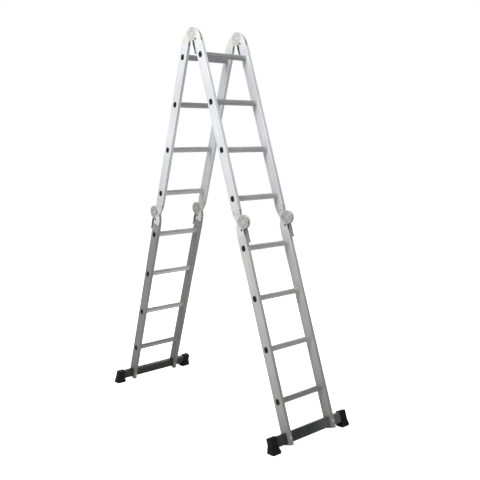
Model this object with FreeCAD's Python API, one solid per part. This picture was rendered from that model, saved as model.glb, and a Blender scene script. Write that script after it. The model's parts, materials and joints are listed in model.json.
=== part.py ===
"""Folding multi position ladder: four hinged sections standing as an A-frame.

Row frame, millimetres: +X runs along the rungs, +Y from the front legs to the back legs,
+Z up, and the origin lies on the floor under the middle of the frame.

Every section is drawn in its own section frame: x along the rungs, y towards the other leg
(the outer side is -y), z up the rail from the axis of the section line's bottom rung.
Every hinge half is drawn in a hinge frame: origin on the pivot, the arm running down -z with
the rail's middle at y = -PIVOT_OFFSET, and the pivot side of the rail facing +y.
"""
import FreeCAD, Part
import math
import os

from FreeCAD import Placement, Rotation, Vector

# ---- driving dimensions ----
SPREAD_HALF = 18.0          # each leg's lean from the vertical, degrees
FRAME_WIDTH = 355.0         # over the outer faces of the two rails
RAIL_DEPTH = 64.0           # front to back
RAIL_THICK = 21.0           # along the rungs
RAIL_WALL = 1.5
RAIL_CORNER = 3.0
RUNG_PITCH = 280.0
RUNGS_PER_SECTION = 4
RUNG_DEPTH = 25.0
RUNG_HEIGHT = 31.0
RUNG_WALL = 1.5
RUNG_CORNER = 10.0
RUNG_STANDOUT = 0.4         # rung ends beyond the rails' outer faces
RIB_PITCH = 2.4             # tread ribs along the top and bottom faces
RIB_HALF_WIDTH = 0.6
RIB_HEIGHT = 0.7
RIB_ROOT = 0.5              # how far a rib is sunk into the tube
RIB_END_GAP = 1.0           # ribs stop this far short of the rails
PLUG_LAP = 1.0              # flange beyond the rung's own outline
PLUG_FLANGE_THICK = 1.6
PLUG_COLLAR_LENGTH = 4.0
PLUG_LENGTH = 14.0
PLUG_STEM_FIT = 3.0         # stem's section under the collar's
PLUG_HOLLOW_FIT = 7.0
PLUG_CHAMFER = 0.8
PIVOT_OFFSET = 42.0         # pivot to the rail's middle plane
END_TO_PIVOT = 70.0         # rail end to the pivot beside it
BOTTOM_RUNG_Z = 234.5       # bottom rung axis above the floor

# ---- levels along a leg, from the bottom rung's axis ----
HALF_PITCH = RUNG_PITCH / 2.0
MID_PIVOT_S = (RUNGS_PER_SECTION - 1) * RUNG_PITCH + HALF_PITCH
TOP_PIVOT_S = MID_PIVOT_S + RUNGS_PER_SECTION * RUNG_PITCH
RAIL_BOTTOM_S = -230.0

# ---- stabiliser bar and its shoes ----
BAR_TOP_S = -165.0
BAR_HEIGHT = 56.0
BAR_THICK = 26.0
BAR_WALL = 2.0
BAR_CORNER = 3.0
BAR_BORE_CORNER = 1.5
BAR_MIDDLE_Y = 2.0
BAR_HALF_LENGTH = 290.0
BAR_MIDDLE_S = BAR_TOP_S - BAR_HEIGHT / 2.0
SHOE_SLEEVE_IN = 250.0
SHOE_SLEEVE_OUT = 296.0
SHOE_WALL = 5.0
SHOE_CORNER = 6.0
SHOE_EDGE_FILLET = 2.5
SHOE_CAVITY_LEAD = 40.0     # the bar's hole runs inward past the sleeve and the ankle
SOLE_LENGTH = 63.0
SOLE_DEPTH = 54.0
SOLE_THICK = 12.0
SOLE_CENTRE_X = 270.5
SOLE_SHIFT = 10.0           # sole's middle outward of the bar's middle
SOLE_CORNER = 9.0
SOLE_GROOVE_Y = 16.0
SOLE_GROOVE_HALF = 1.5
SOLE_GROOVE_DEPTH = 2.0
ANKLE_STEP = 1.0            # ankle's foot, under the sole's size
ANKLE_RISE = 30.0           # sole top to the waist
ANKLE_WAIST = (47.0, 40.0)
ANKLE_TOP = (44.0, 34.0)
ANKLE_WAIST_SHIFT = 2.0

# ---- hinge plates ----
CHEEK_OUTER = 8.95          # fork cheek faces, from the rail's middle
CHEEK_INNER = 6.0
TONGUE_OUTER = 5.85
TONGUE_INNER = 2.85
ARM_FAR_Y = -72.0           # arm edges, either side of the rail's middle
ARM_NEAR_Y = -12.0
ARM_END_Z = -114.0
ARM_CORNER = 8.0
FORK_DISC_R = 39.0
TONGUE_DISC_R = 34.0
SHOULDER_R = 100.0
DOUBLER_TOP_Z = -52.0       # tongue arms thicken below this to fill the rail
AXLE_R = 6.0
RUNNING_GAP = 0.05
RING_OUTER_R = 25.0
RING_INNER_R = 19.0
RING_HEIGHT = 1.2
RING_ROOT = 0.5
RING_CHAMFER = 0.6
AXLE_HEAD_R = 10.0
AXLE_HEAD_H = 2.4
LOCK_ANGLES = (0.0, 90.0, 144.0, 180.0)
NOTCH_WIDTH = 7.0
NOTCH_DEPTH = 5.0

# ---- release lever ----
LEVER_PIN_Y = -27.0
LEVER_PIN_Z = -41.0
LEVER_PIN_R = 3.0
LEVER_PIN_WALL = 1.0
LEVER_PIN_RIM = 1.2         # flared rim, beyond the pin's own radius
LEVER_PIN_RIM_H = 1.0
LEVER_HALF_WIDTH = 5.5
LEVER_TAIL_HALF_WIDTH = 9.0
LEVER_BOSS_R = 9.0
# Neck outline: tooth flat, heel towards the tail, underside, then back up to the boss.
LEVER_NECK = [(-8.0, -34.9), (3.5, -34.9), (6.5, -41.0), (5.5, -50.0), (1.8, -58.0),
              (-6.0, -52.0), (-22.0, -49.5), (-34.0, -46.5), (-33.0, -34.0)]
TAIL_TOP = (6.2, -46.5)     # where the tail's outer face leaves the neck
TAIL_OUTER_Y = 4.6
TAIL_THICK = 3.0
TAIL_BEND_Z = -92.0         # the thumb end bends outward below this
TAIL_TIP = (7.6, -115.0)
TAIL_TIP_THICK = 2.7
TAIL_BULGE = 0.25           # share of the outward bend already made halfway down it
STOP_PIN_R = 5.0
STOP_GAP = 0.3
STOP_PIN_DIRECTION = 227.0  # from the folded partner's shoulder centre, degrees
SPRING_SLOT_HALF = 3.4
SPRING_SLOT_REACH = 12.0
SPRING_SLOT_R = 8.0
SPRING_COIL_R = 4.8
SPRING_WIRE_R = 0.6
SPRING_PITCH = 1.4
SPRING_TURNS = 3
SPRING_LEG = 5.0

# ---- fasteners ----
RIVET_R = 2.5
RIVET_HEAD_R = 4.8
RIVET_HEAD_H = 1.6
RIVET_Z = -98.0
RIVET_YS = (-27.0, -57.0)
BOLT_R = 4.0
BOLT_HEAD_R = 7.0
BOLT_HEAD_H = 3.5
BOLT_TAIL = 8.0             # bolt beyond the rail's inner face
NUT_HEIGHT = 6.0
CUT_OVER = 2.0              # cutters run this far past what they cut

HALF_WIDTH = FRAME_WIDTH / 2.0
RAIL_X = HALF_WIDTH - RAIL_THICK / 2.0
LEAN = math.radians(SPREAD_HALF)
LEG_FOOT_Y = TOP_PIVOT_S * math.sin(LEAN) + PIVOT_OFFSET * math.cos(LEAN)
SIDES = (("left", -1), ("right", 1))
X_AXIS = Vector(1, 0, 0)
Y_AXIS = Vector(0, 1, 0)
Z_AXIS = Vector(0, 0, 1)

FRONT = Placement(Vector(0, -LEG_FOOT_Y, BOTTOM_RUNG_Z), Rotation(X_AXIS, -SPREAD_HALF))
BACK = Placement(Vector(0, 0, 0), Rotation(Z_AXIS, 180)).multiply(FRONT)
LEGS = {"front": FRONT, "back": BACK}

nodes = {}


def add(name, solids, placement):
    """File solids under a node, moved from a section frame to the row frame."""
    for solid in solids:
        moved = solid.copy()
        moved.Placement = placement.multiply(moved.Placement)
        nodes.setdefault(name, []).append(moved)


# ---- drawing helpers ----
def box(x0, x1, y0, y1, z0, z1):
    return Part.makeBox(x1 - x0, y1 - y0, z1 - z0, Vector(x0, y0, z0))


def rod(radius, x0, x1, y=0.0, z=0.0):
    """A round bar along X."""
    return Part.makeCylinder(radius, x1 - x0, Vector(x0, y, z), X_AXIS)


def rounded_wire(width, height, corner, to_vector):
    """A rounded rectangle centred on the origin of a plane that to_vector maps into space."""
    a = width / 2.0
    b = height / 2.0
    k = corner * (1.0 - math.sqrt(0.5))
    edges = []
    corners = ((a, b, 1, 1), (-a, b, -1, 1), (-a, -b, -1, -1), (a, -b, 1, -1))
    for index, (u, v, su, sv) in enumerate(corners):
        on_u = (u - su * corner, v)
        on_v = (u, v - sv * corner)
        middle = (u - su * k, v - sv * k)
        start, end = (on_v, on_u) if index % 2 == 0 else (on_u, on_v)
        edges.append(Part.Arc(to_vector(*start), to_vector(*middle), to_vector(*end)).toShape())
        nu, nv, nsu, nsv = corners[(index + 1) % 4]
        following = (nu - nsu * corner, nv) if index % 2 == 0 else (nu, nv - nsv * corner)
        if math.dist(end, following) > 1e-6:
            edges.append(Part.LineSegment(to_vector(*end), to_vector(*following)).toShape())
    return Part.Wire(edges)


def rounded_bar_x(depth, height, corner, x0, x1, y=0.0, z=0.0):
    """A bar along X with a rounded rectangular section."""
    wire = rounded_wire(depth, height, corner, lambda u, v: Vector(x0, y + u, z + v))
    return Part.Face(wire).extrude(Vector(x1 - x0, 0, 0))


def rounded_bar_z(thick, depth, corner, z0, z1, x=0.0, y=0.0):
    """A bar along Z with a rounded rectangular section."""
    wire = rounded_wire(thick, depth, corner, lambda u, v: Vector(x + u, y + v, z0))
    return Part.Face(wire).extrude(Vector(0, 0, z1 - z0))


def plate(edges, x0, x1):
    """A flat plate: a closed outline in the YZ plane, extruded from x0 to x1."""
    flat = Part.Face(Part.Wire(edges))
    flat.translate(Vector(x0, 0, 0))
    return flat.extrude(Vector(x1 - x0, 0, 0))


def line(a, b):
    return Part.LineSegment(Vector(0, *a), Vector(0, *b)).toShape()


def arc(a, middle, b):
    return Part.Arc(Vector(0, *a), Vector(0, *middle), Vector(0, *b)).toShape()


def polar(radius, angle, y=0.0, z=0.0):
    """A point in the YZ plane, the angle measured from +Y towards +Z."""
    return (y + radius * math.cos(angle), z + radius * math.sin(angle))


def dome_head(radius, height, x, outward, y=0.0, z=0.0):
    """A low domed rivet head standing on the plane at x."""
    ball = (radius * radius + height * height) / (2.0 * height)
    centre = Vector(x + outward * (height - ball), y, z)
    cap = Part.makeSphere(ball, centre)
    far = x + outward * (height + 1.0)
    return cap.common(box(min(x, far), max(x, far), y - radius, y + radius, z - radius, z + radius))


# ---- rails, rungs and plugs ----
def rung_levels(section):
    first = 0 if section == "lower" else RUNGS_PER_SECTION
    return [(first + i) * RUNG_PITCH for i in range(RUNGS_PER_SECTION)]


def rail(section, x):
    """A hollow box rail, pierced by its rungs, its rivets and, low down, the bar."""
    if section == "lower":
        bottom, top = RAIL_BOTTOM_S, MID_PIVOT_S - END_TO_PIVOT
    else:
        bottom, top = MID_PIVOT_S + END_TO_PIVOT, TOP_PIVOT_S - END_TO_PIVOT
    outer = rounded_bar_z(RAIL_THICK, RAIL_DEPTH, RAIL_CORNER, bottom, top, x)
    inside_thick = RAIL_THICK - 2 * RAIL_WALL
    inside_depth = RAIL_DEPTH - 2 * RAIL_WALL
    body = outer.cut(rounded_bar_z(inside_thick, inside_depth, RAIL_CORNER - RAIL_WALL,
                                   bottom - CUT_OVER, top + CUT_OVER, x))
    x0 = x - RAIL_THICK
    x1 = x + RAIL_THICK
    cutters = [rounded_bar_x(RUNG_DEPTH, RUNG_HEIGHT, RUNG_CORNER, x0, x1, 0.0, z)
               for z in rung_levels(section)]
    if section == "lower":
        cutters.append(rounded_bar_x(BAR_THICK, BAR_HEIGHT, BAR_CORNER, x0, x1,
                                     BAR_MIDDLE_Y, BAR_MIDDLE_S))
        cutters.append(bolt_hole(x))
    return body.cut(cutters)


def rung():
    """A ribbed hollow tread about the X axis at z = 0, its ends just proud of the rails."""
    reach = HALF_WIDTH + RUNG_STANDOUT
    outer = rounded_bar_x(RUNG_DEPTH, RUNG_HEIGHT, RUNG_CORNER, -reach, reach)
    rib_reach = HALF_WIDTH - RAIL_THICK - RIB_END_GAP
    ribs = []
    for side in (-1, 1):
        face = side * RUNG_HEIGHT / 2.0
        low, high = sorted((face - side * RIB_ROOT, face + side * RIB_HEIGHT))
        for step in (-1, 0, 1):
            y = step * RIB_PITCH
            ribs.append(box(-rib_reach, rib_reach, y - RIB_HALF_WIDTH, y + RIB_HALF_WIDTH, low, high))
    bore = rounded_bar_x(RUNG_DEPTH - 2 * RUNG_WALL, RUNG_HEIGHT - 2 * RUNG_WALL,
                         RUNG_CORNER - RUNG_WALL, -reach - CUT_OVER, reach + CUT_OVER)
    return outer.fuse(ribs).cut(bore)


def rung_plug(side):
    """A push-in end plug: a flange over the rung's end, a snug collar and a hollow stem."""
    seat = HALF_WIDTH + RUNG_STANDOUT
    face = seat + PLUG_FLANGE_THICK
    collar_end = seat - PLUG_COLLAR_LENGTH
    stem_end = seat - PLUG_LENGTH
    depth = RUNG_DEPTH - 2 * RUNG_WALL
    height = RUNG_HEIGHT - 2 * RUNG_WALL
    corner = RUNG_CORNER - RUNG_WALL

    def inside(fit, x0, x1):
        return rounded_bar_x(depth - fit, height - fit, corner - fit / 2.0, x0, x1)

    flange = rounded_bar_x(RUNG_DEPTH + 2 * PLUG_LAP, RUNG_HEIGHT + 2 * PLUG_LAP,
                           RUNG_CORNER + PLUG_LAP, seat, face)
    rim = [e for e in flange.Edges if e.BoundBox.XMin > (seat + face) / 2.0]
    collar = inside(0.0, collar_end, seat)
    stem = inside(PLUG_STEM_FIT, stem_end, collar_end)
    hollow = inside(PLUG_HOLLOW_FIT, stem_end - CUT_OVER, collar_end)
    solid = flange.makeChamfer(PLUG_CHAMFER, rim).fuse([collar, stem]).cut(hollow)
    if side < 0:
        solid = solid.mirror(Vector(0, 0, 0), X_AXIS)
    return solid


# ---- hinge halves, in the hinge frame ----
def arm_outline(disc_r):
    """The edge of a hinge plate: a disc about the pivot, a long shoulder and a straight arm."""
    centre_y = ARM_FAR_Y + SHOULDER_R
    centre_z = -math.sqrt((SHOULDER_R - disc_r) ** 2 - centre_y ** 2)
    to_pivot = math.atan2(-centre_z, -centre_y)
    shoulder_start = (ARM_FAR_Y, centre_z)
    disc_start = polar(disc_r, to_pivot)
    shoulder_middle = polar(SHOULDER_R, (to_pivot + math.pi) / 2.0, centre_y, centre_z)
    crotch = (ARM_NEAR_Y, -math.sqrt(disc_r ** 2 - ARM_NEAR_Y ** 2))
    crotch_angle = math.atan2(crotch[1], crotch[0])
    disc_middle = polar(disc_r, (to_pivot + crotch_angle) / 2.0)
    c = ARM_CORNER
    k = c * (1.0 - math.sqrt(0.5))
    near_low = (ARM_NEAR_Y, ARM_END_Z + c)
    end_near = (ARM_NEAR_Y - c, ARM_END_Z)
    end_far = (ARM_FAR_Y + c, ARM_END_Z)
    far_low = (ARM_FAR_Y, ARM_END_Z + c)
    return [arc(shoulder_start, shoulder_middle, disc_start),
            arc(disc_start, disc_middle, crotch),
            line(crotch, near_low),
            arc(near_low, (ARM_NEAR_Y - k, ARM_END_Z + k), end_near),
            line(end_near, end_far),
            arc(end_far, (ARM_FAR_Y + k, ARM_END_Z + k), far_low),
            line(far_low, shoulder_start)]


def stop_pin_place():
    """Centre of the stop pin: just clear of the tongue's shoulder when the hinge is straight."""
    centre_y = ARM_FAR_Y + SHOULDER_R
    centre_z = math.sqrt((SHOULDER_R - TONGUE_DISC_R) ** 2 - centre_y ** 2)
    direction = math.radians(STOP_PIN_DIRECTION)
    return polar(SHOULDER_R + STOP_PIN_R + STOP_GAP, direction, centre_y, centre_z)


STOP_PIN_Y, STOP_PIN_Z = stop_pin_place()


def fork_cheeks():
    """The two outer plates of the locking half, with a pressed ring round the pivot."""
    cheeks = []
    for side in (-1, 1):
        x0, x1 = sorted((side * CHEEK_INNER, side * CHEEK_OUTER))
        face = side * CHEEK_OUTER
        ring_top = face + side * RING_HEIGHT
        ring_x = sorted((face - side * RING_ROOT, ring_top))
        ring = rod(RING_OUTER_R, *ring_x).cut(rod(RING_INNER_R, *ring_x))
        rims = [e for e in ring.Edges if len(e.Vertexes) == 1 and abs(e.CenterOfMass.x - ring_top) < 0.01]
        ring = ring.makeChamfer(RING_CHAMFER, rims)
        cheek = plate(arm_outline(FORK_DISC_R), x0, x1).fuse(ring)
        h0 = x0 - CUT_OVER
        h1 = x1 + CUT_OVER
        holes = [rod(AXLE_R, h0, h1),
                 rod(LEVER_PIN_R, h0, h1, LEVER_PIN_Y, LEVER_PIN_Z),
                 rod(LEVER_PIN_R, h0, h1, STOP_PIN_Y, STOP_PIN_Z)]
        holes += [rod(RIVET_R, h0, h1, y, RIVET_Z) for y in RIVET_YS]
        cheeks.append(cheek.cut(holes))
    return cheeks


def tongue_plates():
    """The two inner plates: lock notches round the rim, thickened where they fill the rail."""
    plates = []
    for side in (-1, 1):
        x0, x1 = sorted((side * TONGUE_INNER, side * TONGUE_OUTER))
        inner = plate(arm_outline(TONGUE_DISC_R), x0, x1)
        d0, d1 = sorted((side * TONGUE_INNER, side * CHEEK_OUTER))
        below = box(d0, d1, ARM_FAR_Y, ARM_NEAR_Y, ARM_END_Z, DOUBLER_TOP_Z)
        doubler = plate(arm_outline(TONGUE_DISC_R), d0, d1).common(below)
        h0 = d0 - CUT_OVER
        h1 = d1 + CUT_OVER
        cutters = [rod(AXLE_R + RUNNING_GAP, h0, h1)]
        cutters += [rod(RIVET_R, h0, h1, y, RIVET_Z) for y in RIVET_YS]
        for angle in LOCK_ANGLES:
            notch = box(h0, h1, -NOTCH_WIDTH / 2, NOTCH_WIDTH / 2,
                        TONGUE_DISC_R - NOTCH_DEPTH, TONGUE_DISC_R + CUT_OVER)
            notch.rotate(Vector(0, 0, 0), X_AXIS, -angle)
            cutters.append(notch)
        plates.append(inner.fuse(doubler).cut(cutters))
    return plates


def hinge_pins():
    """The axle, the tubular lever pin and the stop pin that spaces the cheeks."""
    axle = rod(AXLE_R, -CHEEK_OUTER, CHEEK_OUTER)
    lever_pin = rod(LEVER_PIN_R, -CHEEK_OUTER, CHEEK_OUTER, LEVER_PIN_Y, LEVER_PIN_Z)
    stop = rod(STOP_PIN_R, -CHEEK_INNER, CHEEK_INNER, STOP_PIN_Y, STOP_PIN_Z)
    stop = stop.fuse(rod(LEVER_PIN_R, -CHEEK_OUTER, CHEEK_OUTER, STOP_PIN_Y, STOP_PIN_Z))
    for side in (-1, 1):
        face = side * CHEEK_OUTER
        axle = axle.fuse(dome_head(AXLE_HEAD_R, AXLE_HEAD_H, face, side))
        rim = sorted((face, face + side * LEVER_PIN_RIM_H))
        lever_pin = lever_pin.fuse(rod(LEVER_PIN_R + LEVER_PIN_RIM, *rim, LEVER_PIN_Y, LEVER_PIN_Z))
    bore_reach = CHEEK_OUTER + LEVER_PIN_RIM_H + CUT_OVER
    bore = rod(LEVER_PIN_R - LEVER_PIN_WALL, -bore_reach, bore_reach, LEVER_PIN_Y, LEVER_PIN_Z)
    return [axle, lever_pin.cut(bore), stop]


def lever_tail():
    """The thumb tail: a strip down the outside of the rail, its tip bent outward and rounded."""
    inner_y = TAIL_OUTER_Y - TAIL_THICK
    tip_y, tip_z = TAIL_TIP
    tip_inner_y = tip_y - TAIL_TIP_THICK
    tip_middle = ((tip_y + tip_inner_y) / 2.0, tip_z - TAIL_TIP_THICK / 2.0)
    middle_z = (TAIL_BEND_Z + tip_z) / 2.0
    bulge = (tip_y - TAIL_OUTER_Y) * TAIL_BULGE
    top_y, top_z = TAIL_TOP
    inner_top = (inner_y, top_z - (top_y - inner_y))
    edges = [line(TAIL_TOP, (TAIL_OUTER_Y, TAIL_BEND_Z)),
             arc((TAIL_OUTER_Y, TAIL_BEND_Z), (TAIL_OUTER_Y + bulge, middle_z), TAIL_TIP),
             arc(TAIL_TIP, tip_middle, (tip_inner_y, tip_z)),
             arc((tip_inner_y, tip_z), (inner_y + bulge, middle_z), (inner_y, TAIL_BEND_Z)),
             line((inner_y, TAIL_BEND_Z), inner_top),
             line(inner_top, TAIL_TOP)]
    return plate(edges, -LEVER_TAIL_HALF_WIDTH, LEVER_TAIL_HALF_WIDTH)


def lever():
    """The release lever: a slotted boss on its pin, a lock tooth and a thumb tail outside."""
    neck_edges = [line(a, b) for a, b in zip(LEVER_NECK, LEVER_NECK[1:] + LEVER_NECK[:1])]
    neck = plate(neck_edges, -LEVER_HALF_WIDTH, LEVER_HALF_WIDTH)
    boss = rod(LEVER_BOSS_R, -LEVER_HALF_WIDTH, LEVER_HALF_WIDTH, LEVER_PIN_Y, LEVER_PIN_Z)
    slot = rod(SPRING_SLOT_R, -SPRING_SLOT_HALF, SPRING_SLOT_HALF, LEVER_PIN_Y, LEVER_PIN_Z)
    open_side = box(-SPRING_SLOT_HALF, SPRING_SLOT_HALF, LEVER_PIN_Y - SPRING_SLOT_REACH, LEVER_PIN_Y,
                    LEVER_PIN_Z - SPRING_SLOT_REACH, LEVER_PIN_Z + SPRING_SLOT_REACH)
    pin_hole = rod(LEVER_PIN_R + RUNNING_GAP, -LEVER_HALF_WIDTH - CUT_OVER, LEVER_HALF_WIDTH + CUT_OVER,
                   LEVER_PIN_Y, LEVER_PIN_Z)
    return neck.fuse([boss, lever_tail()]).cut([slot, open_side, pin_hole])


def lever_spring():
    """The torsion spring round the lever pin, one face per turn, with a leg at each end."""
    length = SPRING_PITCH * SPRING_TURNS
    helix = Part.makeLongHelix(SPRING_PITCH, length, SPRING_COIL_R)
    section = Part.makeCircle(SPRING_WIRE_R, Vector(SPRING_COIL_R, 0, 0), Y_AXIS)
    coil = Part.Wire(helix.Edges).makePipeShell([Part.Wire(section)], True, True)
    legs = [Part.makeCylinder(SPRING_WIRE_R, SPRING_LEG, Vector(SPRING_COIL_R, 0, level), direction)
            for level, direction in ((0.0, Vector(0, -1, 0)), (length, Y_AXIS))]
    spring = coil.fuse(legs)
    spring.translate(Vector(0, 0, -length / 2.0))
    spring.rotate(Vector(0, 0, 0), Y_AXIS, 90)
    spring.rotate(Vector(0, 0, 0), X_AXIS, 90)
    spring.translate(Vector(0, LEVER_PIN_Y, LEVER_PIN_Z))
    return spring


def rail_rivets():
    """The two rivets that hold a hinge arm in its rail."""
    half = RAIL_THICK / 2.0
    rivets = []
    for y in RIVET_YS:
        body = rod(RIVET_R, -half, half, y, RIVET_Z)
        for side in (-1, 1):
            body = body.fuse(dome_head(RIVET_HEAD_R, RIVET_HEAD_H, side * half, side, y, RIVET_Z))
        rivets.append(body)
    return rivets


def hinge_place(end, x):
    """Where a hinge half sits in its section frame, by the section end that carries it."""
    if end == "lower_top":
        return Placement(Vector(x, -PIVOT_OFFSET, MID_PIVOT_S), Rotation(Z_AXIS, 180))
    if end == "upper_bottom":
        return Placement(Vector(x, -PIVOT_OFFSET, MID_PIVOT_S), Rotation(X_AXIS, 180))
    return Placement(Vector(x, PIVOT_OFFSET, TOP_PIVOT_S), Rotation())


# ---- stabiliser bar ----
def bolt_hole(x):
    return Part.makeCylinder(BOLT_R, 2 * RAIL_DEPTH, Vector(x, -RAIL_DEPTH, BAR_MIDDLE_S), Y_AXIS)


def stabiliser_bar():
    outer = rounded_bar_x(BAR_THICK, BAR_HEIGHT, BAR_CORNER, -BAR_HALF_LENGTH, BAR_HALF_LENGTH,
                          BAR_MIDDLE_Y, BAR_MIDDLE_S)
    bore_reach = BAR_HALF_LENGTH + CUT_OVER
    bore = rounded_bar_x(BAR_THICK - 2 * BAR_WALL, BAR_HEIGHT - 2 * BAR_WALL, BAR_BORE_CORNER,
                         -bore_reach, bore_reach, BAR_MIDDLE_Y, BAR_MIDDLE_S)
    return outer.cut([bore] + [bolt_hole(side * RAIL_X) for _, side in SIDES])


def bar_bolt(x):
    """A bolt through rail and bar, its domed head outside and its nut inside the leg."""
    face = RAIL_DEPTH / 2.0
    shank = Part.makeCylinder(BOLT_R, 2 * face + BOLT_TAIL, Vector(x, -face, BAR_MIDDLE_S), Y_AXIS)
    head = dome_head(BOLT_HEAD_R, BOLT_HEAD_H, 0.0, -1)
    head.rotate(Vector(0, 0, 0), Z_AXIS, 90)
    head.translate(Vector(x, -face, BAR_MIDDLE_S))
    turns = [math.radians(60 * i) for i in range(6)]
    corners = [Vector(x + BOLT_HEAD_R * math.cos(t), face, BAR_MIDDLE_S + BOLT_HEAD_R * math.sin(t))
               for t in turns]
    nut = Part.Face(Part.makePolygon(corners + corners[:1])).extrude(Vector(0, NUT_HEIGHT, 0))
    return shank.fuse([head, nut])


def shoe(side):
    """A rubber shoe on the front bar, in the row frame: a leaning sleeve on a level sole."""
    sleeve = rounded_bar_x(BAR_THICK + 2 * SHOE_WALL, BAR_HEIGHT + 2 * SHOE_WALL, SHOE_CORNER,
                           SHOE_SLEEVE_IN, SHOE_SLEEVE_OUT, BAR_MIDDLE_Y, BAR_MIDDLE_S)
    sleeve = sleeve.makeFillet(SHOE_EDGE_FILLET, [e for e in sleeve.Edges if e.BoundBox.XLength < 0.01])
    cavity = rounded_bar_x(BAR_THICK, BAR_HEIGHT, BAR_CORNER, SHOE_SLEEVE_IN - SHOE_CAVITY_LEAD,
                           BAR_HALF_LENGTH, BAR_MIDDLE_Y, BAR_MIDDLE_S)
    for leaning in (sleeve, cavity):
        leaning.Placement = FRONT.multiply(leaning.Placement)
    bar_centre = FRONT.multVec(Vector(0, BAR_MIDDLE_Y, BAR_MIDDLE_S))
    sleeve_x = (SHOE_SLEEVE_IN + SHOE_SLEEVE_OUT) / 2.0
    sole_y = bar_centre.y - SOLE_SHIFT

    def level(size, x, y, z):
        return rounded_wire(*size, SOLE_CORNER, lambda u, v: Vector(x + u, y + v, z))

    sole = Part.Face(level((SOLE_LENGTH, SOLE_DEPTH), SOLE_CENTRE_X, sole_y, 0.0))
    sole = sole.extrude(Vector(0, 0, SOLE_THICK))
    ankle_foot = (SOLE_LENGTH - ANKLE_STEP, SOLE_DEPTH - ANKLE_STEP)
    waist_y = bar_centre.y - ANKLE_WAIST_SHIFT
    ankle = Part.makeLoft([level(ankle_foot, SOLE_CENTRE_X, sole_y, SOLE_THICK),
                           level(ANKLE_WAIST, sleeve_x, waist_y, SOLE_THICK + ANKLE_RISE),
                           level(ANKLE_TOP, sleeve_x, bar_centre.y, bar_centre.z)], True)
    grooves = [box(SOLE_CENTRE_X - SOLE_LENGTH, SOLE_CENTRE_X + SOLE_LENGTH,
                   sole_y + y - SOLE_GROOVE_HALF, sole_y + y + SOLE_GROOVE_HALF,
                   -CUT_OVER, SOLE_GROOVE_DEPTH) for y in (-SOLE_GROOVE_Y, SOLE_GROOVE_Y)]
    solid = sleeve.fuse([sole, ankle]).cut(grooves + [cavity])
    if side < 0:
        solid = solid.mirror(Vector(0, 0, 0), X_AXIS)
    return solid


# ---- assembly ----
def build_section(section, leg):
    name = section + "_" + leg
    place = LEGS[leg]
    for side_name, side in SIDES:
        add("rail_" + name + "_" + side_name, [rail(section, side * RAIL_X)], place)
    for number, level in enumerate(rung_levels(section), 1):
        at_level = place.multiply(Placement(Vector(0, 0, level), Rotation()))
        add("rung_" + name + "_" + str(number), [rung_shape], at_level)
        add("rung_plugs_" + name, [rung_plug(side) for _, side in SIDES], at_level)
    ends = ("lower_top",) if section == "lower" else ("upper_bottom", "upper_top")
    for end in ends:
        for _, side in SIDES:
            add("rivets_" + name, rivet_shapes, place.multiply(hinge_place(end, side * RAIL_X)))
    if section == "lower":
        add("stabiliser_bar_" + leg, [stabiliser_bar()], place)
        add("rivets_" + name, [bar_bolt(side * RAIL_X) for _, side in SIDES], place)


def pierce_rails(section, leg, end):
    """Drill the rivet holes of one section end through its two rails."""
    place = LEGS[leg]
    for side_name, side in SIDES:
        name = "rail_" + section + "_" + leg + "_" + side_name
        holes = []
        for y in RIVET_YS:
            hole = rod(RIVET_R, -RAIL_THICK, RAIL_THICK, y, RIVET_Z)
            hole.Placement = place.multiply(hinge_place(end, side * RAIL_X)).multiply(hole.Placement)
            holes.append(hole)
        nodes[name] = [nodes[name][0].cut(holes)]


def build_fork(line_name, leg, end):
    for side_name, side in SIDES:
        place = LEGS[leg].multiply(hinge_place(end, side * RAIL_X))
        add("hinge_fork_" + line_name + "_" + side_name, fork_shapes, place)
        add("release_lever_" + line_name + "_" + side_name, [lever_shape], place)
        add("hinge_pins_" + line_name, pin_shapes, place)
        add("lever_springs_" + line_name, [spring_shape], place)


def build_tongue(line_name, leg, end):
    for side_name, side in SIDES:
        place = LEGS[leg].multiply(hinge_place(end, side * RAIL_X))
        add("hinge_tongue_" + line_name + "_" + side_name, tongue_shapes, place)


rung_shape = rung()
rivet_shapes = rail_rivets()
fork_shapes = fork_cheeks()
tongue_shapes = tongue_plates()
pin_shapes = hinge_pins()
lever_shape = lever()
spring_shape = lever_spring()

for leg_name in LEGS:
    build_section("lower", leg_name)
    build_section("upper", leg_name)
    pierce_rails("lower", leg_name, "lower_top")
    pierce_rails("upper", leg_name, "upper_bottom")
    pierce_rails("upper", leg_name, "upper_top")
    build_fork("mid_" + leg_name, leg_name, "lower_top")
    build_tongue("mid_" + leg_name, leg_name, "upper_bottom")
build_fork("top", "front", "upper_top")
build_tongue("top", "back", "upper_top")

front_shoes = [shoe(side) for _, side in SIDES]
turn_round = Placement(Vector(0, 0, 0), Rotation(Z_AXIS, 180))
add("bar_shoes_front", front_shoes, Placement())
add("bar_shoes_back", front_shoes, turn_round)

os.makedirs("parts", exist_ok=True)
for node, solids in nodes.items():
    shape = solids[0] if len(solids) == 1 else Part.makeCompound(solids)
    shape.exportStep("parts/" + node + ".step")
print(len(nodes), "nodes written")
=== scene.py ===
"""Looks of the folding multi position ladder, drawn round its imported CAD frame. Metres."""
import json
import math

import bmesh
import bpy
from mathutils import Matrix, Vector

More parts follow.
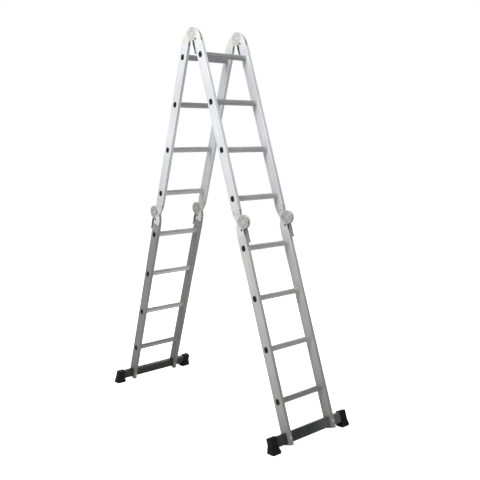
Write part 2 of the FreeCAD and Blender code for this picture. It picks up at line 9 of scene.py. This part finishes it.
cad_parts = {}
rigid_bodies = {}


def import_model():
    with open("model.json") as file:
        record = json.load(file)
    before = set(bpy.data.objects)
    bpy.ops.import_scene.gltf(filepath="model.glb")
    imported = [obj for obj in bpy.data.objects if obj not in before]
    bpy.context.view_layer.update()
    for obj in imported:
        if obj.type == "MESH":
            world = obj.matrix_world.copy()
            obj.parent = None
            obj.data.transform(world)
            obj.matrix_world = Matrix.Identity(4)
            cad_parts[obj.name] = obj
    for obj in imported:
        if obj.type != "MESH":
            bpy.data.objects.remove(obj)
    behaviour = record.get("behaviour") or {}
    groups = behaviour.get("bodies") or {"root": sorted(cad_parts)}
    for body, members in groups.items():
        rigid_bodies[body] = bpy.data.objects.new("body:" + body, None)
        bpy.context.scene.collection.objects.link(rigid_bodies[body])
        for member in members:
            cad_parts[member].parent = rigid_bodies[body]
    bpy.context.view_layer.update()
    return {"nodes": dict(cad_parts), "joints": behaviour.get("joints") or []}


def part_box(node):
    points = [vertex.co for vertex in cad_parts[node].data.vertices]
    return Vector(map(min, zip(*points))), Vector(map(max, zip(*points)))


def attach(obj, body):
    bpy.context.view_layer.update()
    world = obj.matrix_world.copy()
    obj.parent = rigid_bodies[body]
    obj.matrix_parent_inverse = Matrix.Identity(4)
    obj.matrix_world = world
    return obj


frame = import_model()
nodes = frame["nodes"]
SECTIONS = [(level, leg) for level in ("lower", "upper") for leg in ("front", "back")]
HINGE_LINES = ("mid_front", "mid_back", "top")
LEG_LEAN = math.radians(18.0)
RUNGS_PER_SECTION = 4

# ---- camera ----
CAMERA_AT = Vector((-2.6558, -3.2458, 1.6016))
CAMERA_YAW = math.radians(41.06)     # from +Y towards +X
CAMERA_PITCH = math.radians(-7.90)
CAMERA_ROLL = math.radians(-0.754)
CAMERA_LENS = 52.3
CAMERA_SENSOR = 36.0

# ---- light ----
BACKDROP = 1.0                       # the studio's brightness as the camera sees it
AMBIENT = 0.18                       # the studio's brightness as light on the ladder
KEY_AT = (-3.0, -0.25, 3.6)
KEY_AIM = (0.0, 0.0, 1.6)
KEY_SIZE = 1.8
KEY_POWER = 138.0
TOP_AT = (0.0, -1.6, 4.6)
TOP_AIM = (0.0, -0.2, 1.6)
TOP_POWER = 60.0
FILL_AT = (3.2, 2.6, 2.6)            # lights the two sides that face away from the camera
FILL_AIM = (0.0, 0.0, 1.1)
FILL_SIZE = 2.6
FILL_POWER = 95.0
FLOOR_GLOW = 0.85
FLOOR_HALF_SIZE = 60.0

# ---- pieces drawn round the frame ----
RAIL_INNER_X = -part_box("rail_upper_front_left")[1].x
RUNG_SECTION = (0.025, 0.031, 0.010)  # depth, height, corner
BEAD_RADIUS = 0.0013
BEAD_LIFT = 0.0003                   # bead's middle above the rung's surface
SLEEVE_SECTION = (0.036, 0.066, 0.006)
SLEEVE_MOUTH_X = 0.2523
LIP_RADIUS = 0.0020
CHEEK_FACE = 0.00895                 # hinge plate's outer face, from the rail's middle
PIN_RING_RADIUS = 0.0052
PIN_RING_WIRE = 0.0012
BEAD_SIDES = 8
CORNER_STEPS = 6
WELD = 0.000001                      # points closer than this are joined

# ---- aluminium: tones in order from the ramp's start to its end; the ramps are painted light and shade ----
HEAD_Z = 1.9                         # height at which the rails' and rungs' ramps end
UP_THE_LADDER = ("Z", 0.0, HEAD_Z)
RAIL_GRAIN = (420.0, 420.0, 3.0)
CROSS_GRAIN = (3.0, 420.0, 420.0)    # rungs and bars run along X
CLOUD_GRAIN = (9.0, 9.0, 3.0)
# painted shade: the lower rails darken towards the floor, and the back pair is a darker shaded
# copy of the front pair's aluminium
LOWER_RAILS = {"front": [(0.0, (0.26, 0.26, 0.252)), (1.0, (0.84, 0.84, 0.82))],
               "back": [(0.0, (0.19, 0.188, 0.182)), (1.0, (0.37, 0.37, 0.358))]}
# painted light and shade: the upper rails are darker lower down and lightest near the head as a
# painted highlight
UPPER_RAIL = [(0.0, (0.36, 0.36, 0.365)), (0.75, (0.605, 0.61, 0.625)),
              (0.88, (0.675, 0.68, 0.70)), (1.0, (0.605, 0.61, 0.63))]
# painted light and shade: the rungs are lightest at mid height and darker at the bottom and the
# top
RUNG_TONES = [(0.10, (0.26, 0.26, 0.255)), (0.30, (0.52, 0.52, 0.515)),
              (0.78, (0.52, 0.52, 0.525)), (1.0, (0.34, 0.34, 0.345))]
# painted reflection: the bars are aluminium tinted near black as a painted dark reflection, and
# the front bar lightens towards +X as a painted highlight
BAR_FRONT = [(0.0, (0.046, 0.050, 0.050)), (1.0, (0.135, 0.14, 0.145))]
BAR_BACK = [(0.0, (0.032, 0.032, 0.031)), (1.0, (0.046, 0.046, 0.044))]
OXIDE_CLOUDS = [(0.30, (0.88, 0.88, 0.88)), (0.72, (1.06, 1.06, 1.06))]
DIE_LINES = [(0.32, (0.84, 0.84, 0.85)), (0.68, (1.0, 1.0, 1.0))]
RUBBED_ALUMINIUM = (1.18, 1.18, 1.18)  # times the colour under it
ALUMINIUM_SPECULAR = 0.30

# ---- zinc, paint and mouldings: darkest tone, lightest tone, roughness ----
PIN_ZINC = ((0.52, 0.52, 0.50), (0.66, 0.66, 0.64), 0.34)
ZINC = {"rivet": ((0.42, 0.42, 0.42), (0.56, 0.56, 0.56), 0.45),
        "bead": ((0.42, 0.42, 0.42), (0.55, 0.55, 0.55), 0.42),
        # plate_mid and plate_top are one zinc in two tones: the mid hinges' darker copy is
        # painted shade
        "plate_mid": ((0.33, 0.335, 0.315), (0.44, 0.445, 0.42), 0.52),
        "plate_top": ((0.47, 0.475, 0.45), (0.59, 0.60, 0.565), 0.54),
        "wire": ((0.20, 0.20, 0.21), (0.33, 0.33, 0.34), 0.35)}
PAINT = {"lever": ((0.045, 0.050, 0.056), (0.085, 0.093, 0.100), 0.45),
         "ring": ((0.018, 0.018, 0.020), (0.034, 0.034, 0.036), 0.50)}
MOULDED = {"plug": ((0.004, 0.004, 0.005), (0.010, 0.010, 0.011), 0.60, 900.0),
           "shoe": ((0.003, 0.003, 0.003), (0.008, 0.008, 0.008), 0.66, 700.0)}
SPANGLE_SCALE = 260.0
SPANGLE = [(0.0, (0.93, 0.93, 0.94)), (0.8, (1.0, 1.0, 1.0))]
RUBBED_ZINC = (0.74, 0.74, 0.72)
ZINC_METALLIC = 0.28
LEVER_PIN_SPOT = 0.0043              # radius of the dark end of a lever pin
LEVER_PIN_SPOT_EDGE = 1.05           # times the spot's radius
LEVER_PIN_DARK = (0.035, 0.037, 0.040)
BARE_STEEL = (0.46, 0.46, 0.46)
PAINT_METALLIC = 0.35
RUBBED_MOULDING = 2.2                # times the lightest tone
MOULDED_SPECULAR = 0.22


# ---- shader building ----
class Shader:
    """A procedural material under construction, with short calls for its nodes."""

    def __init__(self, name):
        self.material = bpy.data.materials.new(name)
        self.material.use_nodes = True
        self.tree = self.material.node_tree
        self.surface = self.tree.nodes["Principled BSDF"]
        self.point = self.new("ShaderNodeTexCoord").outputs["Object"]

    def new(self, kind):
        return self.tree.nodes.new(kind)

    def link(self, output, socket):
        self.tree.links.new(output, socket)

    def along(self, lean, scale):
        """Object coordinates turned level with a leg that leans, then stretched."""
        turn = self.new("ShaderNodeVectorRotate")
        turn.rotation_type = "X_AXIS"
        turn.inputs["Angle"].default_value = lean
        self.link(self.point, turn.inputs["Vector"])
        stretch = self.new("ShaderNodeVectorMath")
        stretch.operation = "MULTIPLY"
        self.link(turn.outputs["Vector"], stretch.inputs[0])
        stretch.inputs[1].default_value = scale
        return stretch.outputs["Vector"]

    def split(self):
        """The object coordinates' separate X, Y and Z."""
        node = self.new("ShaderNodeSeparateXYZ")
        self.link(self.point, node.inputs["Vector"])
        return node

    def noise(self, vector, scale, detail=3.0, rough=0.5):
        node = self.new("ShaderNodeTexNoise")
        self.link(vector, node.inputs["Vector"])
        node.inputs["Scale"].default_value = scale
        node.inputs["Detail"].default_value = detail
        node.inputs["Roughness"].default_value = rough
        return node.outputs["Fac"]

    def ramp(self, value, stops):
        node = self.new("ShaderNodeValToRGB")
        self.link(value, node.inputs["Fac"])
        elements = node.color_ramp.elements
        while len(elements) < len(stops):
            elements.new(0.5)
        for element, (position, colour) in zip(elements, stops):
            element.position = position
            element.color = (*colour, 1.0)
        return node.outputs["Color"]

    def spread(self, value, low, high, out_low, out_high):
        node = self.new("ShaderNodeMapRange")
        self.link(value, node.inputs["Value"])
        for socket, number in (("From Min", low), ("From Max", high),
                               ("To Min", out_low), ("To Max", out_high)):
            node.inputs[socket].default_value = number
        return node.outputs["Result"]

    def mix(self, factor, first, second, blend="MIX"):
        node = self.new("ShaderNodeMix")
        node.data_type = "RGBA"
        node.blend_type = blend
        if isinstance(factor, float):
            node.inputs["Factor"].default_value = factor
        else:
            self.link(factor, node.inputs["Factor"])
        for socket, value in (("A", first), ("B", second)):
            target = [s for s in node.inputs if s.name == socket and s.type == "RGBA"][0]
            if isinstance(value, tuple):
                target.default_value = (*value, 1.0)
            else:
                self.link(value, target)
        return [s for s in node.outputs if s.type == "RGBA"][0]

    def bump(self, height, strength, distance):
        node = self.new("ShaderNodeBump")
        node.inputs["Strength"].default_value = strength
        node.inputs["Distance"].default_value = distance
        self.link(height, node.inputs["Height"])
        self.link(node.outputs["Normal"], self.surface.inputs["Normal"])

    def finish(self, colour, roughness, metallic):
        self.link(colour, self.surface.inputs["Base Color"])
        self.link(roughness, self.surface.inputs["Roughness"])
        self.surface.inputs["Metallic"].default_value = metallic
        return self.material


def wear_mask(shader, low, high):
    """Bright where the surface is convex: the edges that handling rubs."""
    pointiness = shader.new("ShaderNodeNewGeometry").outputs["Pointiness"]
    return shader.spread(pointiness, low, high, 0.0, 1.0)


def extruded(name, lean, stops, rough, metallic, grain, painted_light_grade=UP_THE_LADDER):
    """Mill-finish extrusion: die lines, cloudy oxide, a tone ramped along an axis as painted
    light and shade, rubbed edges.
    """
    shader = Shader(name)
    lines = shader.noise(shader.along(lean, grain), 1.0, 4.0, 0.6)
    clouds = shader.noise(shader.along(lean, CLOUD_GRAIN), 1.0, 5.0, 0.6)
    # painted light and shade: the tone ramps along the axis to stand in for how the lamps fall
    # on the part
    axis, start, end = painted_light_grade
    distance = shader.spread(shader.split().outputs[axis], start, end, 0.0, 1.0)
    painted_light_tone = shader.ramp(distance, stops)
    base = shader.mix(1.0, painted_light_tone, shader.ramp(clouds, OXIDE_CLOUDS), "MULTIPLY")
    colour = shader.mix(0.6, base, shader.ramp(lines, DIE_LINES), "MULTIPLY")
    rubbed = shader.mix(1.0, colour, RUBBED_ALUMINIUM, "MULTIPLY")
    colour = shader.mix(wear_mask(shader, 0.52, 0.60), colour, rubbed)
    shader.bump(lines, 0.10, 0.0004)
    shader.surface.inputs["Specular IOR Level"].default_value = ALUMINIUM_SPECULAR
    roughness = shader.spread(lines, 0.3, 0.7, rough - 0.06, rough + 0.08)
    return shader.finish(colour, roughness, metallic)


def darken_at(shader, spot, colour):
    """A dark disc about an axis along X that passes through spot."""
    split = shader.split()
    flat = shader.new("ShaderNodeCombineXYZ")
    for axis in ("Y", "Z"):
        shader.link(split.outputs[axis], flat.inputs[axis])
    away = shader.new("ShaderNodeVectorMath")
    away.operation = "DISTANCE"
    shader.link(flat.outputs["Vector"], away.inputs[0])
    away.inputs[1].default_value = (0.0, spot[1], spot[2])
    edge = LEVER_PIN_SPOT * LEVER_PIN_SPOT_EDGE
    outside = shader.spread(away.outputs["Value"], LEVER_PIN_SPOT, edge, 0.0, 1.0)
    return shader.mix(outside, LEVER_PIN_DARK, colour)


def pressed_zinc(name, dark, light, rough, spot=None):
    """Zinc-plated steel: spangle, faint yellowing, scuffs, and a dark disc at spot if given."""
    shader = Shader(name)
    cells = shader.new("ShaderNodeTexVoronoi")
    cells.inputs["Scale"].default_value = SPANGLE_SCALE
    shader.link(shader.point, cells.inputs["Vector"])
    clouds = shader.noise(shader.point, 38.0, 5.0, 0.6)
    base = shader.ramp(clouds, [(0.30, dark), (0.70, light)])
    spangle = shader.ramp(cells.outputs["Distance"], SPANGLE)
    colour = shader.mix(0.6, base, spangle, "MULTIPLY")
    colour = shader.mix(wear_mask(shader, 0.53, 0.62), colour, RUBBED_ZINC)
    if spot:
        colour = darken_at(shader, spot, colour)
    scuffs = shader.noise(shader.point, 700.0, 2.0, 0.5)
    shader.bump(scuffs, 0.12, 0.0003)
    roughness = shader.spread(clouds, 0.3, 0.7, rough - 0.07, rough + 0.09)
    return shader.finish(colour, roughness, ZINC_METALLIC)


def moulded(name, dark, light, rough, grain):
    """Moulded plastic or rubber: fine pebble grain, dusty clouds and paler rubbed edges."""
    shader = Shader(name)
    clouds = shader.noise(shader.point, 30.0, 5.0, 0.65)
    pebble = shader.noise(shader.point, grain, 2.0, 0.5)
    base = shader.ramp(clouds, [(0.35, dark), (0.75, light)])
    rubbed = tuple(c * RUBBED_MOULDING for c in light)
    colour = shader.mix(wear_mask(shader, 0.54, 0.64), base, rubbed)
    shader.bump(pebble, 0.35, 0.0005)
    shader.surface.inputs["Specular IOR Level"].default_value = MOULDED_SPECULAR
    roughness = shader.spread(pebble, 0.3, 0.7, rough - 0.07, rough + 0.08)
    return shader.finish(colour, roughness, 0.0)


def painted(name, dark, light, rough):
    """Satin paint on sheet steel with orange peel and edges rubbed to metal."""
    shader = Shader(name)
    clouds = shader.noise(shader.point, 45.0, 4.0, 0.6)
    peel = shader.noise(shader.point, 520.0, 2.0, 0.5)
    base = shader.ramp(clouds, [(0.3, dark), (0.7, light)])
    colour = shader.mix(wear_mask(shader, 0.55, 0.64), base, BARE_STEEL)
    shader.bump(peel, 0.15, 0.0003)
    roughness = shader.spread(clouds, 0.3, 0.7, rough - 0.05, rough + 0.07)
    return shader.finish(colour, roughness, PAINT_METALLIC)


LEANS = {"front": LEG_LEAN, "back": -LEG_LEAN}


def lever_pin_place(line):
    name = "press_lever_" + line + "_left"
    return next(joint["pos_m"] for joint in frame["joints"] if joint["name"] == name)


def make_materials():
    """Every finish by its own name: one material each."""
    made = {}
    for leg, lean in LEANS.items():
        lower = "rail_lower_" + leg
        upper = "rail_upper_" + leg
        # the rails' tones ramp up the ladder as painted light and shade, and the back lower
        # rails are a shaded copy
        made[lower] = extruded(lower, lean, LOWER_RAILS[leg], 0.52, 0.26, RAIL_GRAIN)
        made[upper] = extruded(upper, lean, UPPER_RAIL, 0.58, 0.15, RAIL_GRAIN)
    # the rungs' tones ramp with height as painted light and shade
    made["rung"] = extruded("rung", 0.0, RUNG_TONES, 0.40, 0.4, CROSS_GRAIN)
    # the bars' near-black tones and the front bar's lighter +X end are painted reflection
    made["bar_front"] = extruded("bar_front", 0.0, BAR_FRONT, 0.42, 0.4, CROSS_GRAIN,
                                 ("X", 0.0, 0.15))
    made["bar_back"] = extruded("bar_back", 0.0, BAR_BACK, 0.42, 0.4, CROSS_GRAIN,
                                ("X", -0.2, 0.2))
    for line in HINGE_LINES:
        made["pin_" + line] = pressed_zinc("pin_" + line, *PIN_ZINC, lever_pin_place(line))
    for build, finishes in ((pressed_zinc, ZINC), (painted, PAINT), (moulded, MOULDED)):
        for name, values in finishes.items():
            made[name] = build(name, *values)
    return made


NODE_FINISH = (("rung_plugs_", "plug"), ("rung_", "rung"), ("bar_shoes_", "shoe"),
               ("stabiliser_bar_front", "bar_front"), ("stabiliser_bar_back", "bar_back"),
               ("hinge_fork_top", "plate_top"), ("hinge_tongue_top", "plate_top"),
               ("hinge_fork_", "plate_mid"), ("hinge_tongue_", "plate_mid"),
               ("rivets_", "rivet"), ("lever_springs_", "wire"), ("release_lever_", "lever"))


def finish_of(node):
    if node.startswith("rail_"):
        return node.rsplit("_", 1)[0]
    if node.startswith("hinge_pins_"):
        return node.replace("hinge_pins_", "pin_")
    return next(finish for prefix, finish in NODE_FINISH if node.startswith(prefix))


def dress(thing, material):
    thing.data.materials.clear()
    thing.data.materials.append(material)


materials = make_materials()
for node_name, node_object in nodes.items():
    dress(node_object, materials[finish_of(node_name)])


# ---- beads, lips and rings ----
def round_section(size):
    """Points and outward normals round a rounded rectangle, the corners as arcs."""
    width, height, corner = size
    found = []
    for quarter, (su, sv) in enumerate(((1, 1), (-1, 1), (-1, -1), (1, -1))):
        centre = Vector((su * (width / 2.0 - corner), sv * (height / 2.0 - corner)))
        for step in range(CORNER_STEPS + 1):
            turn = math.radians(90.0 * (quarter + step / CORNER_STEPS))
            normal = Vector((math.cos(turn), math.sin(turn)))
            found.append((centre + normal * corner, normal))
    return found


def add_bead(form, centre, lean, size, x, radius, lift):
    """A round bead at x about a leaning rounded section."""
    across = Vector((0.0, math.cos(lean), -math.sin(lean)))
    along = Vector((0.0, math.sin(lean), math.cos(lean)))
    rings = []
    for point, normal in round_section(size):
        ring = []
        for side in range(BEAD_SIDES):
            turn = 2.0 * math.pi * side / BEAD_SIDES
            out = point + normal * (lift + radius * math.cos(turn))
            place = Vector((x + radius * math.sin(turn), centre.y, centre.z))
            ring.append(form.verts.new(place + across * out.x + along * out.y))
        rings.append(ring)
    for ring, following in zip(rings, rings[1:] + rings[:1]):
        for side in range(BEAD_SIDES):
            after = (side + 1) % BEAD_SIDES
            form.faces.new((ring[side], ring[after], following[after], following[side]))


def finish_piece(form, name, body, material):
    """Turns a form into a smooth piece with a material, riding a body."""
    bmesh.ops.remove_doubles(form, verts=form.verts, dist=WELD)
    bmesh.ops.recalc_face_normals(form, faces=form.faces)
    mesh = bpy.data.meshes.new(name)
    form.to_mesh(mesh)
    form.free()
    mesh.polygons.foreach_set("use_smooth", [True] * len(mesh.polygons))
    piece = bpy.data.objects.new(name, mesh)
    bpy.context.scene.collection.objects.link(piece)
    dress(piece, material)
    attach(piece, body)


def middle_of(node):
    low_corner, high_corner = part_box(node)
    return (low_corner + high_corner) / 2.0


def make_rung_beads(level, leg, lean):
    """The swaged beads that lock each rung against its rails' inner faces."""
    form = bmesh.new()
    for number in range(1, RUNGS_PER_SECTION + 1):
        centre = middle_of("rung_%s_%s_%d" % (level, leg, number))
        for side in (-1, 1):
            bead_x = side * (RAIL_INNER_X - BEAD_RADIUS)
            add_bead(form, centre, lean, RUNG_SECTION, bead_x, BEAD_RADIUS, BEAD_LIFT)
    finish_piece(form, "rung_beads_%s_%s" % (level, leg), "%s_%s" % (level, leg),
                 materials["bead"])


def make_shoe_lips(leg, lean):
    """The thickened lip at the mouth of each rubber shoe."""
    form = bmesh.new()
    centre = middle_of("stabiliser_bar_" + leg)
    for side in (-1, 1):
        lip_x = side * SLEEVE_MOUTH_X
        add_bead(form, centre, lean, SLEEVE_SECTION, lip_x, LIP_RADIUS, -LIP_RADIUS / 2.0)
    finish_piece(form, "shoe_lips_" + leg, "lower_" + leg, materials["shoe"])


def make_pin_rings(line):
    """The dark push-on rings that keep the lever pins in their cheeks."""
    form = bmesh.new()
    levers = [j for j in frame["joints"] if j["name"].startswith("press_lever_" + line)]
    section = (2.0 * PIN_RING_RADIUS, 2.0 * PIN_RING_RADIUS, PIN_RING_RADIUS)
    for lever in levers:
        centre = Vector(lever["pos_m"])
        for face in (-1, 1):
            ring_x = centre.x + face * (CHEEK_FACE + PIN_RING_WIRE / 2.0)
            add_bead(form, centre, 0.0, section, ring_x, PIN_RING_WIRE, 0.0)
    name = "lever_pin_rings_" + line
    finish_piece(form, name, levers[0]["parent"], materials["ring"])


for level, leg in SECTIONS:
    make_rung_beads(level, leg, LEANS[leg])
for leg in LEANS:
    make_shoe_lips(leg, LEANS[leg])
for line in HINGE_LINES:
    make_pin_rings(line)


# ---- stage, light and camera ----
def seen_only(tree, hidden, seen, socket):
    """Sets a strength to one value for light and another for what the camera sees."""
    path = tree.nodes.new("ShaderNodeLightPath")
    level = tree.nodes.new("ShaderNodeMapRange")
    level.inputs["To Min"].default_value = hidden
    level.inputs["To Max"].default_value = seen
    tree.links.new(path.outputs["Is Camera Ray"], level.inputs["Value"])
    tree.links.new(level.outputs["Result"], socket)


def make_floor():
    """A plain white floor whose whiteness doesn't light the object from below."""
    shader = Shader("floor")
    clouds = shader.noise(shader.point, 1.5, 3.0, 0.5)
    colour = shader.ramp(clouds, [(0.3, (0.90, 0.90, 0.90)), (0.7, (0.92, 0.92, 0.92))])
    shader.surface.inputs["Emission Color"].default_value = (1.0, 1.0, 1.0, 1.0)
    shader.surface.inputs["Specular IOR Level"].default_value = 0.0
    seen_only(shader.tree, 0.0, FLOOR_GLOW, shader.surface.inputs["Emission Strength"])
    material = shader.finish(colour, shader.spread(clouds, 0.3, 0.7, 0.85, 0.9), 0.0)
    mesh = bpy.data.meshes.new("floor")
    form = bmesh.new()
    bmesh.ops.create_grid(form, x_segments=2, y_segments=2, size=FLOOR_HALF_SIZE)
    form.to_mesh(mesh)
    form.free()
    floor = bpy.data.objects.new("floor", mesh)
    bpy.context.scene.collection.objects.link(floor)
    dress(floor, material)


def make_world():
    """A white studio that lights the object less than it shows."""
    world = bpy.data.worlds.new("studio")
    world.use_nodes = True
    tree = world.node_tree
    background = tree.nodes["Background"]
    background.inputs["Color"].default_value = (1.0, 1.0, 1.0, 1.0)
    seen_only(tree, AMBIENT, BACKDROP, background.inputs["Strength"])
    bpy.context.scene.world = world


def make_area(name, place, aim, size, power):
    data = bpy.data.lights.new(name, "AREA")
    data.shape = "SQUARE"
    data.size = size
    data.energy = power
    lamp = bpy.data.objects.new(name, data)
    bpy.context.scene.collection.objects.link(lamp)
    lamp.location = place
    lamp.rotation_mode = "QUATERNION"
    lamp.rotation_quaternion = (Vector(aim) - Vector(place)).to_track_quat("-Z", "Y")


def make_camera():
    data = bpy.data.cameras.new("camera")
    data.lens = CAMERA_LENS
    data.sensor_width = CAMERA_SENSOR
    camera = bpy.data.objects.new("camera", data)
    bpy.context.scene.collection.objects.link(camera)
    level = math.cos(CAMERA_PITCH)
    forward = Vector((math.sin(CAMERA_YAW) * level, math.cos(CAMERA_YAW) * level,
                      math.sin(CAMERA_PITCH)))
    right = forward.cross(Vector((0, 0, 1))).normalized()
    up = right.cross(forward)
    rolled = right * math.cos(CAMERA_ROLL) + up * math.sin(CAMERA_ROLL)
    raised = rolled.cross(forward)
    turn = Matrix((rolled, raised, -forward)).transposed()
    camera.matrix_world = Matrix.Translation(CAMERA_AT) @ turn.to_4x4()
    bpy.context.scene.camera = camera


make_floor()
make_world()
make_area("key", KEY_AT, KEY_AIM, KEY_SIZE, KEY_POWER)
make_area("top", TOP_AT, TOP_AIM, KEY_SIZE, TOP_POWER)
make_area("fill", FILL_AT, FILL_AIM, FILL_SIZE, FILL_POWER)
make_camera()
bpy.context.scene.view_settings.view_transform = "Standard"
